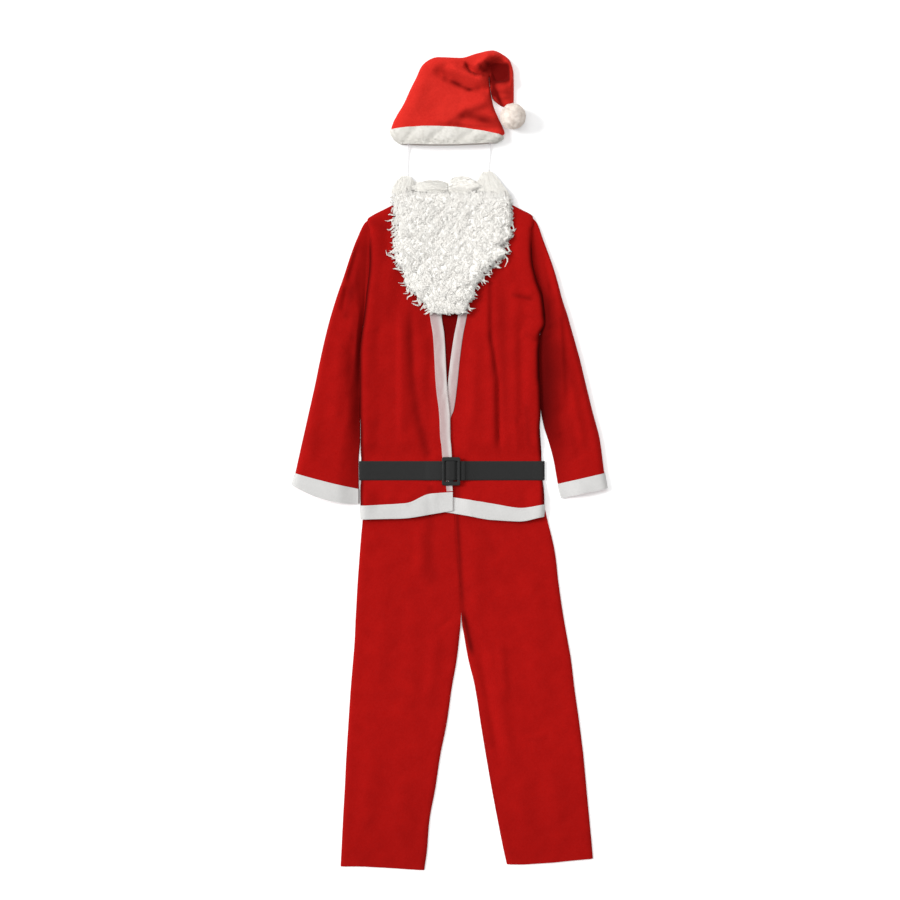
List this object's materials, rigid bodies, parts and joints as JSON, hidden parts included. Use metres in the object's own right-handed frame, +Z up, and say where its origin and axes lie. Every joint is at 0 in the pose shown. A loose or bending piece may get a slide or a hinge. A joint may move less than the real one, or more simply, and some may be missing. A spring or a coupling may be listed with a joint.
{
  "type": "santa suit laid out flat",
  "caption": "Red felt santa suit laid flat: hat with pompom, curly white beard, belted open jacket with white bands, and trousers.",
  "frame": {"origin": "middle of the suit's outline, on the surface it lies on", "axes": "+Y from the trouser hems to the hat, +X to the wearer's left, +Z up from the surface"},
  "size_m": [0.7932, 2.048, 0.0621],
  "materials": {
    "red_felt": "matte",
    "hat_felt": "matte",
    "white_felt": "matte",
    "plush": "matte",
    "fur": "matte",
    "elastic": "matte",
    "webbing": "matte",
    "buckle_plastic": "satin"
  },
  "bodies": {
    "root": {"hat_cone": "hat_felt", "hat_brim": "plush", "pompom": "fur", "beard_backing": "fur", "beard_hair": "fur", "moustache_left": "fur", "moustache_right": "fur", "ear_tab_left": "fur", "ear_tab_right": "fur", "beard_elastic": "elastic", "jacket_back": "red_felt", "jacket_front_left": "red_felt", "jacket_front_right": "red_felt", "sleeve_left": "red_felt", "sleeve_right": "red_felt", "front_trim_left": "white_felt", "front_trim_right": "white_felt", "neck_trim_back": "white_felt", "hem_trim_left": "white_felt", "hem_trim_right": "white_felt", "hem_trim_back": "white_felt", "cuff_trim_left": "white_felt", "cuff_trim_right": "white_felt", "belt": "webbing", "buckle": "buckle_plastic", "waistband": "red_felt", "trouser_front_left": "red_felt", "trouser_front_right": "red_felt", "trouser_back_left": "red_felt", "trouser_back_right": "red_felt"}
  },
  "joints": []
}
